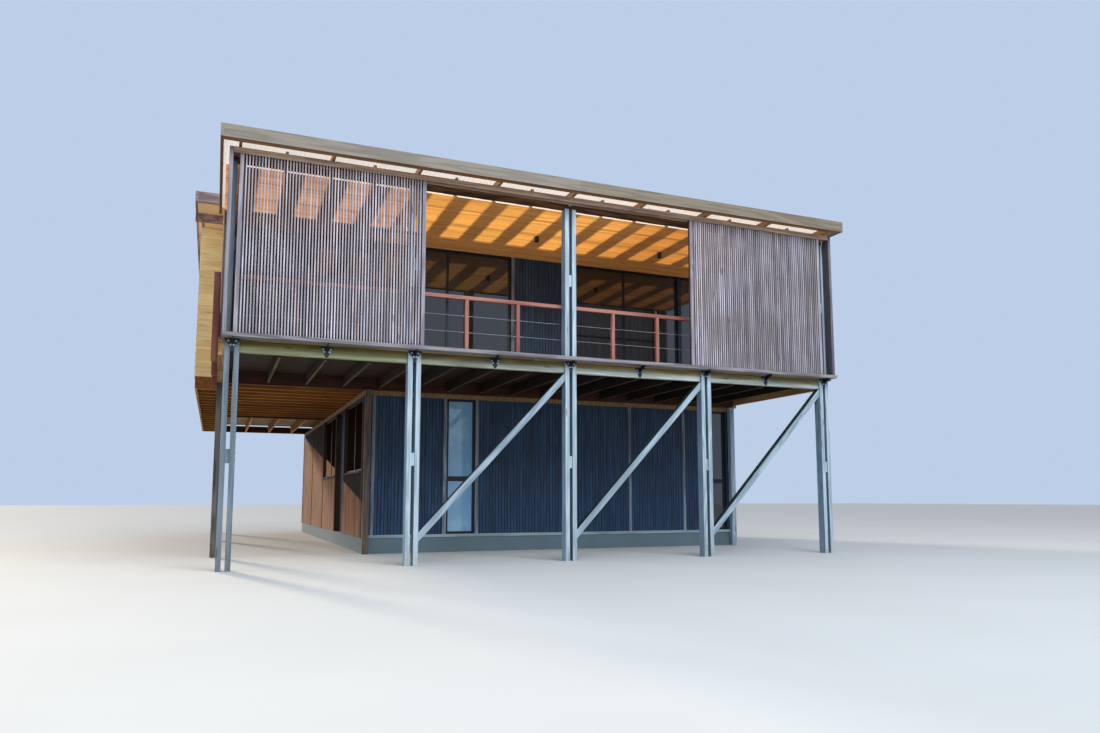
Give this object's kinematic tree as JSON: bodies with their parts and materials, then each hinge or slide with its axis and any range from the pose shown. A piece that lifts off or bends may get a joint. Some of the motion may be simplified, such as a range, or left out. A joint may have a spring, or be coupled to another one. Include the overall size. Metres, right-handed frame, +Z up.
{
  "type": "beach house",
  "caption": "Two storey timber post and beam house with a verandah behind sliding slatted screens, a boarded ground floor and a carport.",
  "frame": {"origin": "middle of the bounding box at ground level", "axes": "+X to the right along the front, +Y from the front into the house, +Z up"},
  "size_m": [12.18, 16.055, 6.885],
  "materials": {
    "post_timber": "weathered treated pine",
    "dark_post_timber": "shaded weathered timber",
    "beam_timber": "treated pine with a green tint",
    "joist_timber": "sawn pine",
    "deck_timber": "weathered decking",
    "floor_board": "floor boards",
    "concrete": "plain concrete",
    "dark_boards": "dark stained vertical boards",
    "brown_boards": "brown stained vertical boards",
    "dark_door": "dark stained door",
    "pale_boards": "pale weatherboards",
    "trim_timber": "brown grey battens",
    "plate_timber": "yellowish pine plates",
    "black_aluminium": "black powder coat",
    "window_glass": "dark clear glass",
    "ceiling_boards": "oiled timber boards",
    "lining": "painted lining",
    "fascia_timber": "weathered grey green timber",
    "roof_steel": "corrugated steel",
    "clear_sheet": "clear corrugated sheet",
    "frame_timber": "weathered grey violet timber",
    "slat_timber": "weathered slats",
    "red_hardwood": "red hardwood",
    "steel_wire": "stainless wire",
    "black_steel": "black paint"
  },
  "bodies": {
    "house": {"front_posts": "post_timber", "carport_posts": "dark_post_timber", "braces": "post_timber", "front_beam": "beam_timber", "cross_beams": "joist_timber", "side_beams": "joist_timber", "front_joists": "joist_timber", "middle_joists": "joist_timber", "rear_joists": "joist_timber", "deck_boards": "deck_timber", "upper_floor": "floor_board", "ground_slab": "concrete", "lower_front_wall": "dark_boards", "carport_wall": "brown_boards", "lower_right_wall": "dark_boards", "lower_rear_wall": "dark_boards", "wall_plates": "plate_timber", "corner_posts": "trim_timber", "wall_battens": "trim_timber", "lower_window_frames": "black_aluminium", "lower_glass": "window_glass", "entry_door": "dark_door", "upper_front_wall": "dark_boards", "upper_left_wall": "pale_boards", "upper_right_wall": "dark_boards", "upper_rear_wall": "dark_boards", "upper_frames": "black_aluminium", "upper_glass": "window_glass", "verandah_ceiling": "ceiling_boards", "roof_beam": "beam_timber", "rafters": "joist_timber", "fascia": "fascia_timber", "verandah_roof": "clear_sheet", "main_ceiling": "lining", "main_rafters": "joist_timber", "main_roof": "roof_steel", "main_fascia": "frame_timber", "screen_sill": "frame_timber", "screen_head": "frame_timber", "screen_jambs": "frame_timber", "balustrade": "red_hardwood", "balustrade_wires": "steel_wire", "brackets": "black_steel", "ceiling_lights": "black_steel"},
    "left_screen": {"left_screen": "slat_timber"},
    "right_screen": {"right_screen": "slat_timber"}
  },
  "joints": [
    {"name": "left_screen_slide", "type": "slide", "parent": "house", "child": "left_screen", "axis": [1, 0, 0], "range_m": [0, 2.64]},
    {"name": "right_screen_slide", "type": "slide", "parent": "house", "child": "right_screen", "axis": [-1, 0, 0], "range_m": [0, 2.38]}
  ]
}
